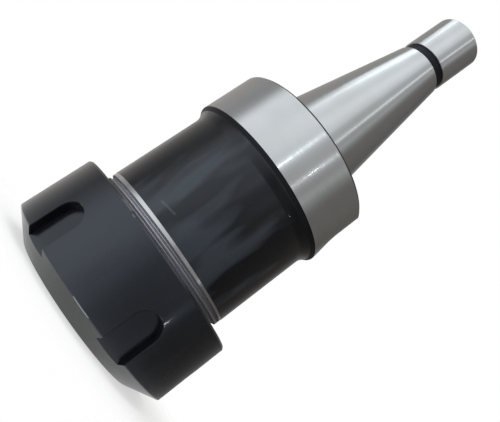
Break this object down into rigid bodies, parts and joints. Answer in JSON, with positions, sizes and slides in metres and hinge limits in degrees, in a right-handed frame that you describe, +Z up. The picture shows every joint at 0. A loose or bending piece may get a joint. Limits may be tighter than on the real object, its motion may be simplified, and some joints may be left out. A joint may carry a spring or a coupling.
{
  "type": "collet chuck holder",
  "caption": "Steep-taper milling chuck with a drive flange, a blackened barrel, a notched clamping nut and a slit spring collet that grips round-shank tools.",
  "frame": {"origin": "centre of the front face of the clamping nut, the face that the chuck stands on", "axes": "+Z up the axis from the nut to the drawbar end of the shank; the drive slots of the flange lie on +X and -X"},
  "size_m": [0.063, 0.063, 0.1472],
  "materials": {
    "ground_and_blackened_steel": "ground bright on shank and flange, black oxide on barrel",
    "black_oxide_steel": "black oxide, satin",
    "spring_steel": "ground and polished"
  },
  "bodies": {
    "nut": {"clamping_nut": "black_oxide_steel"},
    "collet": {"collet": "spring_steel"},
    "holder": {"holder_body": "ground_and_blackened_steel"}
  },
  "joints": [
    {"name": "nut_turn", "type": "hinge", "parent": "nut", "child": "collet", "pos_m": [0, 0, 0], "axis": [0, 0, 1], "range_deg": [0, 2520]},
    {"name": "thread_travel", "type": "slide", "parent": "collet", "child": "holder", "axis": [0, 0, 1], "range_m": [0, 0.0106]}
  ],
  "couplings": [
    {"joint": "thread_travel", "follows": "nut_turn", "m_per_rad": 0.00023873}
  ]
}
